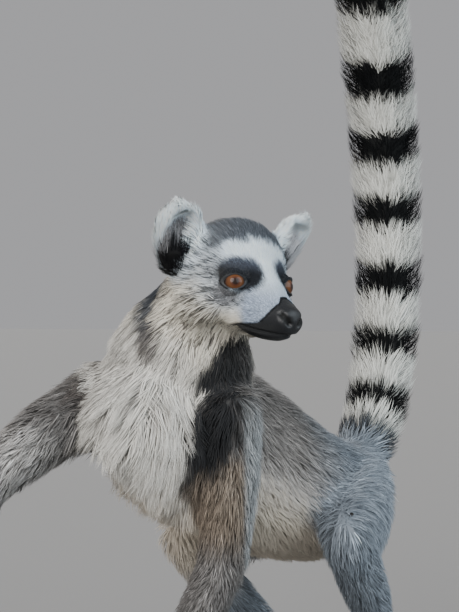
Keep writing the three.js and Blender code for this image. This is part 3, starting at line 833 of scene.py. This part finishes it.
hide = Paintwork("hide")
object_place = hide.node("ShaderNodeTexCoord", output=3)
marking = hide.node("ShaderNodeAttribute", {"attribute_name": "marking"})
nakedness = hide.node("ShaderNodeAttribute", {"attribute_name": "bare"}, output=2)
pores = hide.node("ShaderNodeTexVoronoi", {"feature": "F1"}, {"Vector": object_place, "Scale": 1500})
fibres = hide.node("ShaderNodeTexNoise", {}, {"Vector": object_place, "Scale": 900, "Detail": 3})
# A Mix node of colours has its sockets by number: the factor, the two colours, and the output.
MULTIPLIED = {"data_type": "RGBA", "blend_type": "MULTIPLY"}
SHARE, FIRST, SECOND, MIXED = 0, 6, 7, 2
shading = hide.node("ShaderNodeMix", MULTIPLIED, {SHARE: 0.35, FIRST: marking, SECOND: fibres}, MIXED)
relief = pores * nakedness + fibres * (1 - nakedness)
bump = hide.node("ShaderNodeBump", {}, {"Strength": 0.35, "Distance": 0.0004, "Height": relief})
hide.set(Base_Color=shading, Roughness=0.75 - 0.38 * nakedness, Normal=bump, Specular_IOR_Level=0.4)
skin_mesh.materials.clear()
skin_mesh.materials.append(hide.material)
skin_mesh.shade_smooth()
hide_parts(*flesh_nodes)
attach(skin, "root")

# ---------------------------------------------------------------- eyes
# Amber eyes with a bulging cornea, a round dark pupil and a dark rim. Each is one ball with a second,
# smaller curve at its front, and its colours follow the distance from the pupil's centre.

IRIS_RADIUS = 6.1
PUPIL_RADIUS = 1.75
CORNEA_BULGE = 0.9
GAZE_SPLAY, GAZE_LIFT = radians(32), radians(10)
SPOKES = 60  # how fine the streaks are, counted round the iris

iris_paint = Paintwork("eye")
eye_map = iris_paint.node("ShaderNodeUVMap", {"uv_map": "Gaze"})
from_centre = iris_paint.node("ShaderNodeVectorMath", {"operation": "LENGTH"}, {0: eye_map}, 1)
turned = iris_paint.node("ShaderNodeTexGradient", {"gradient_type": "RADIAL"}, {"Vector": eye_map}, 1)
spoke_at = iris_paint.node("ShaderNodeCombineXYZ", {}, {"X": turned * SPOKES, "Y": from_centre * 0.5})
flat_noise = {"noise_dimensions": "2D"}
spokes = iris_paint.node("ShaderNodeTexNoise", flat_noise, {"Vector": spoke_at, "Scale": 1, "Detail": 3})
band = from_centre * (1 / IRIS_RADIUS) + (spokes - 0.5) * 0.10
amber = iris_paint.node("ShaderNodeValToRGB", {"stops": [
    (0.0, (0.012, 0.004, 0.002)),
    (PUPIL_RADIUS / IRIS_RADIUS - 0.02, (0.015, 0.005, 0.002)),
    (PUPIL_RADIUS / IRIS_RADIUS + 0.06, (0.06, 0.016, 0.007)),
    (0.58, (0.125, 0.045, 0.014)),
    (0.78, (0.085, 0.030, 0.010)),
    (0.90, (0.014, 0.007, 0.005)),
]}, {"Fac": band})
iris_paint.set(Base_Color=amber, Roughness=0.5, Specular_IOR_Level=0.15)
iris_paint.set(Coat_Weight=0.45, Coat_Roughness=0.02)

for name, s in (("eye_left", 1), ("eye_right", -1)):
    ball_name = name.replace("eye", "eyeball")
    centre = EYE_AT[s]
    gaze, outward, above = eye_axes(s, GAZE_SPLAY, GAZE_LIFT)
    eyeball = bmesh.new()
    bmesh.ops.create_uvsphere(eyeball, u_segments=64, v_segments=48, radius=EYE_RADIUS)
    gaze_map = eyeball.loops.layers.uv.new("Gaze")
    for vert in eyeball.verts:
        x, y, z = vert.co
        bulge = CORNEA_BULGE * ease(IRIS_RADIUS + 0.4, 1.5, np.hypot(x, y)) * (z > 0)
        vert.co = Vector((x, y, z + bulge))
    for face in eyeball.faces:
        face.smooth = True
        for loop in face.loops:
            x, y, z = loop.vert.co
            stretch = 1 if z > 0 else 3  # the back of the ball is all rim
            loop[gaze_map].uv = (x * stretch, y * stretch)
    for vert in eyeball.verts:
        x, y, z = vert.co
        spot = centre + gaze * z + outward * x + above * y
        vert.co = Vector(on_head(*spot)) * MM
    bmesh.ops.recalc_face_normals(eyeball, faces=eyeball.faces)
    eye_mesh = bpy.data.meshes.new(ball_name)
    eyeball.to_mesh(eye_mesh)
    eyeball.free()
    eye_mesh.materials.append(iris_paint.material)
    eye = placed(ball_name, eye_mesh)
    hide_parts(name)
    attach(eye, "root")

# ---------------------------------------------------------------- nails
# Twenty small flat black nails of horn, one at the end of each finger and toe. Each is a flattened ball set
# into the hide, and leans down with the tip of its digit.

NAIL_SIZE = (1.5, 2.3, 0.7)  # half width, half length, half thickness
NAIL_LEAN = radians(24)
NAIL_SUNK = 0.15
NAIL_BED = 1.6  # radius in which the hide's height is found
FINGERS = [(-9, -46, 22), (-6, -11, 30), (-0.5, 0, 35), (4.5, 9, 33), (8.5, 18, 26)]  # across, turn, length
TOES = [(-8, -52, 30), (-5, -9, 30), (0, 0, 35), (5, 8, 38), (9, 17, 32)]
PAWS = [  # where the middle digit starts, its heading, the paw's side, its digits, and how flat they lie
    (on_body(26, -74, 6.5), 4, 1, FINGERS, 1.0),
    (on_body(-79, -161, 29), 8, -1, FINGERS, 0.72),
    (on_body(51, 126, 6.5), 4.2, 1, TOES, 1.0),
    (on_body(-47, 130, 6.5), -4.2, -1, TOES, 1.0),
]

horn_paint = Paintwork("horn")
horn_place = horn_paint.node("ShaderNodeTexCoord", output=3)
layers = horn_paint.node("ShaderNodeTexNoise", {}, {"Vector": horn_place, "Scale": 1100, "Detail": 3})
horn_colour = horn_paint.node("ShaderNodeValToRGB", {"stops": [
    (0.3, (0.008, 0.007, 0.007)),
    (0.75, (0.030, 0.026, 0.023)),
]}, {"Fac": layers})
ridges = horn_paint.node("ShaderNodeBump", {}, {"Strength": 0.3, "Distance": 0.0002, "Height": layers})
horn_paint.set(Base_Color=horn_colour, Roughness=0.25 + 0.25 * layers, Normal=ridges)
hide_points = points_of(skin_mesh)
nail_shape = bmesh.new()
for start, heading, s, digits, long in PAWS:
    for across, turned_out, length in digits:
        way = radians(heading + s * turned_out)
        ahead = np.array([sin(way), -cos(way), 0])
        knuckle = start + np.array([cos(radians(heading)), sin(radians(heading)), 0]) * across * s
        tip = knuckle + ahead * (length * long + 0.5)
        beside = np.linalg.norm(hide_points[:, :2] - tip[:2], axis=1) < NAIL_BED
        height = hide_points[beside, 2].max()
        at = Matrix.Translation(Vector((tip[0], tip[1], height - NAIL_SUNK)) * MM)
        lean = Matrix.Rotation(way, 4, "Z") @ Matrix.Rotation(NAIL_LEAN, 4, "X")
        shaped = at @ lean @ Matrix.Diagonal((*NAIL_SIZE, 1))
        bmesh.ops.create_uvsphere(nail_shape, u_segments=16, v_segments=10, radius=MM, matrix=shaped)
for face in nail_shape.faces:
    face.smooth = True
nail_mesh = bpy.data.meshes.new("nails")
nail_shape.to_mesh(nail_mesh)
nail_shape.free()
nail_mesh.materials.append(horn_paint.material)
nails = placed("nails", nail_mesh)
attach(nails, "root")

# ---------------------------------------------------------------- coat
# The coat itself, as thousands of tapered locks that grow from the hide, lie along the body and overlap like
# tiles. They are finest on the face and paws, and longest on the chest and neck.

coat_paint = Paintwork("coat")
lock_colour = coat_paint.node("ShaderNodeAttribute", {"attribute_name": "marking"})
coat_place = coat_paint.node("ShaderNodeTexCoord", output=3)
strands = coat_paint.node("ShaderNodeTexNoise", {}, {"Vector": coat_place, "Scale": 2200, "Detail": 2})
strand_bump = coat_paint.node("ShaderNodeBump", {}, {"Strength": 0.2, "Distance": 0.0002, "Height": strands})
tints = {SHARE: 0.25, FIRST: lock_colour, SECOND: strands}
tinted = coat_paint.node("ShaderNodeMix", MULTIPLIED, tints, MIXED)
coat_paint.set(Base_Color=tinted, Roughness=0.8, Normal=strand_bump, Specular_IOR_Level=0.12)

# Each piece of coat: the parts that it covers, how many locks it has, and the record's name for its colour.
COATS = {
    "coat_face": (("muzzle", "face"), 19500, "coat_white"),
    "coat_crown": (("skull",), 13000, "coat_grey"),
    "coat_ears": (("ear",), 10000, "coat_white"),
    "coat_neck": (("neck",), 17000, "coat_pale"),
    "coat_chest": (("breast", "chest"), 18000, "coat_pale"),
    "coat_flanks": (("belly", "rump"), 16000, "coat_grey"),
    "coat_arms": (("upper_arm", "forearm"), 16000, "coat_grey"),
    "coat_legs": (("thigh", "shank"), 14000, "coat_grey"),
    "coat_paws": (("hand", "foot"), 9000, "coat_pale"),
    "coat_tail": (("tail",), 17500, "coat_white"),
}
POINTS_OF_LOCK = 7  # three at the root, three at the middle, and the tip
FACES_OF_LOCK = np.array([
    [0, 1, 2], [0, 5, 3], [0, 2, 5], [2, 4, 5], [2, 1, 4],
    [1, 3, 4], [1, 0, 3], [3, 5, 6], [5, 4, 6], [4, 3, 6],
])
LOCK_SHADE = np.array([0.8, 0.8, 0.82, 0.97, 0.97, 1.0, 1.05])  # of each point, darker at the root
IN_A_CLUMP = 12  # locks whose tips draw together
PATCH_HALF = 0.0015  # half the width of a lock's patch on the map for baking
PATCH_POINTS = np.array([[-1, -1], [1, -1], [0, -1], [-1, 0.2], [1, 0.2], [0, 0.2], [0, 1]]) * PATCH_HALF
PAST_ENDS = 0.15  # how far past a line's ends its part goes on, as a share of the line

skin_mesh.calc_loop_triangles()
corners = np.empty(len(skin_mesh.loop_triangles) * 3, dtype=np.int32)
skin_mesh.loop_triangles.foreach_get("vertices", corners)
corners = corners.reshape(-1, 3)
points, normals = points_of(skin_mesh), normals_of(skin_mesh)
middles = points[corners].mean(1)
first, second, third = (points[corners[:, i]] for i in range(3))
areas = np.linalg.norm(np.cross(second - first, third - first), axis=1) / 2
middle_place = Place(middles)
middle_spots = head_frame(middles)
naked = bare(middle_place)
in_hollow = np.maximum(*[ease(1.05, 0.8, ear_hollow(middle_spots, s)[0]) for s in (1, -1)])
owners = np.array(PARTS)[middle_place.weights.argmax(1)]


def locks(name, chosen, count, seed):
    """A piece of coat: that many locks on the chosen faces of the hide."""
    picker = np.random.default_rng(seed)
    odds = areas * chosen * (naked < 0.5) * (1 - 0.4 * in_hollow) / middle_place.width**2
    faces = picker.choice(len(areas), count, p=odds / odds.sum())
    a, b = picker.random((2, count))
    fold = a + b > 1
    a[fold], b[fold] = 1 - a[fold], 1 - b[fold]
    shares = np.column_stack([1 - a - b, a, b])[..., None]
    roots = (points[corners[faces]] * shares).sum(1)
    rise = units((normals[corners[faces]] * shares).sum(1))
    place = Place(roots)
    spots = head_frame(roots)

    lie = units(place.lie) + picker.normal(scale=0.08, size=(count, 3))
    lie += 0.16 * np.column_stack([wander(roots, 26, seed + i) for i in (11, 12, 13)])
    long_hair, fringed = np.zeros(count), np.zeros(count)
    for s in (1, -1):  # hair from an ear's edge leans over its hollow, and the rest points up it
        ring, _, wide = ear_hollow(spots, s)
        fringe = ease(0.85, 0.95, ring) * ease(1.5, 1.2, ring) * ease(-0.2, -0.6, wide)
        over = HEAD_AXES @ (EAR_HOLLOW_OUT * [1, -s, 1] + [0, 0, 0.25])
        lie += (over - lie) * (fringe * 0.9)[:, None]
        long_hair, fringed = np.maximum(long_hair, fringe * 0.8), np.maximum(fringed, fringe)
        in_ear = ease(1.1, 0.85, ring) * (1 - fringe)
        up_ear = HEAD_AXES @ (EAR_HOLLOW_UP * [1, -s, 1] + [0.2, -0.1 * s, 0])
        lie += (up_ear - lie) * in_ear[:, None]
        long_hair = np.maximum(long_hair, in_ear)
    at_eyes = np.full(count, 99.0)
    for at in EYE_AT.values():  # round an eye the hair points away from it
        away = (spots - at) @ HEAD_AXES.T
        gap = np.linalg.norm(away, axis=1)
        lie += (away / gap[:, None] - lie) * ease(13, 9.5, gap)[:, None] * 0.8
        at_eyes = np.minimum(at_eyes, gap)
    lie = units(lie - rise * (lie * rise).sum(1)[:, None])
    on_muzzle = ease(8, 20, spots[:, 0])
    short = 1 - np.maximum(0.75 * ease(15, 9.8, at_eyes), 0.62 * on_muzzle * place.part("muzzle", "face"))
    length = (place.length * short + 3 * long_hair) * picker.uniform(0.75, 1.2, count)
    width = place.width * (1 - 0.35 * long_hair) * picker.uniform(0.75, 1.25, count)
    bushy = 1 + 0.3 * place.part("tail")
    stand = place.depth * short * (bushy + 0.4 * long_hair) * picker.uniform(0.7, 1.08, count)
    side = np.cross(rise, lie)
    bend = side * (length * picker.normal(scale=0.09, size=count))[:, None]

    low = roots - rise * 0.35  # set a little into the hide
    middle = roots + lie * (length * 0.48)[:, None] + rise * (stand * 0.68)[:, None] + bend * 0.3
    tip = roots + lie * length[:, None] + rise * (stand * 0.95)[:, None] + bend

    # Where the hair is long its tips draw together, a dozen at a time.
    leaders = picker.choice(count, count // IN_A_CLUMP, replace=False)
    tree = KDTree(len(leaders))
    for index, leader in enumerate(leaders):
        tree.insert(roots[leader], index)
    tree.balance()
    nearest = leaders[[tree.find(root)[1] for root in roots]]
    tip += (tip[nearest] - tip) * (ease(7, 20, place.length) * 0.55)[:, None]
    half, crest = side * (width / 2)[:, None], rise * (width * 0.34)[:, None]
    at_root = [low + half, low - half, low + crest]
    at_middle = [middle + half * 0.8, middle - half * 0.8, middle + crest * 0.8]
    rings = np.stack([*at_root, *at_middle, tip], axis=1)
    rings[..., 2] = np.maximum(rings[..., 2], 0.15)  # none goes through the floor
    triangles = FACES_OF_LOCK[None] + (np.arange(count) * POINTS_OF_LOCK)[:, None, None]
    triangles = triangles.reshape(-1, 3)

    # One colour for each lock, which is that of the place between its root and its tip.
    colour = markings(Place(roots + (tip - roots) * (0.6 - 0.5 * fringed)[:, None]))
    tone = colour.mean(1)
    agouti = ease(0.02, 0.08, tone) * ease(0.6, 0.3, tone)  # greys mix dark and pale hairs
    dark = (picker.random(count) < dark_hairs(place)) * ease(0.1, 0.3, tone)
    mix = np.exp(picker.normal(scale=0.08 + 0.26 * agouti, size=count))
    colour = colour * (mix * (1 - 0.78 * dark))[:, None]
    colours = np.clip(colour[:, None] * LOCK_SHADE[None, :, None], 0, 0.92)

    mesh = bpy.data.meshes.new(name)
    mesh.vertices.add(count * POINTS_OF_LOCK)
    mesh.vertices.foreach_set("co", (rings * MM).ravel().astype(np.float32))
    mesh.loops.add(len(triangles) * 3)
    mesh.loops.foreach_set("vertex_index", triangles.ravel().astype(np.int32))
    mesh.polygons.add(len(triangles))
    mesh.polygons.foreach_set("loop_start", (np.arange(len(triangles)) * 3).astype(np.int32))
    mesh.update(calc_edges=True)
    paint(mesh, "marking", colours.reshape(-1, 3))

    # A lock is lit much as the body under it is, so that the coat reads as one soft surface.
    round_about = np.stack([side, -side, rise, side, -side, rise, rise], axis=1) * 0.4 + rise[:, None]
    mesh.polygons.foreach_set("use_smooth", np.ones(len(triangles), dtype=bool))
    mesh.normals_split_custom_set_from_vertices(units(round_about.reshape(-1, 3)))

    # The map for baking: each lock is a small patch, at its root's place round and along its own part.
    own = place.weights.argmax(1)
    share = np.clip(place.shares[np.arange(count), own], -PAST_ENDS, 1 + PAST_ENDS)
    runs = units(ENDS - STARTS)[own]
    out = roots - (STARTS[own] + (ENDS - STARTS)[own] * np.clip(share, 0, 1)[:, None])
    first = units(np.cross(runs, np.array([0.3, 0.5, 0.81])))
    around = np.arctan2((out * np.cross(runs, first)).sum(1), (out * first).sum(1)) / (2 * pi) + 0.5
    own_parts, row = np.unique(own, return_inverse=True)
    up_row = 0.02 + 0.96 * (share + PAST_ENDS) / (1 + 2 * PAST_ENDS)
    patch = np.column_stack([0.01 + 0.98 * around, (row + up_row) / len(own_parts)])
    flat = (patch[:, None] + PATCH_POINTS[None]).reshape(-1, 2)
    layer = mesh.uv_layers.new(name="OFBake")
    layer.data.foreach_set("uv", flat[triangles.ravel()].astype(np.float32).ravel())

    mesh.materials.append(coat_paint.material)
    piece = placed(name, mesh)
    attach(piece, "root")


for seed, (name, (parts, count, slot)) in enumerate(COATS.items()):
    chosen = np.array([owner.startswith(parts) for owner in owners])
    locks(name, chosen, count, seed)
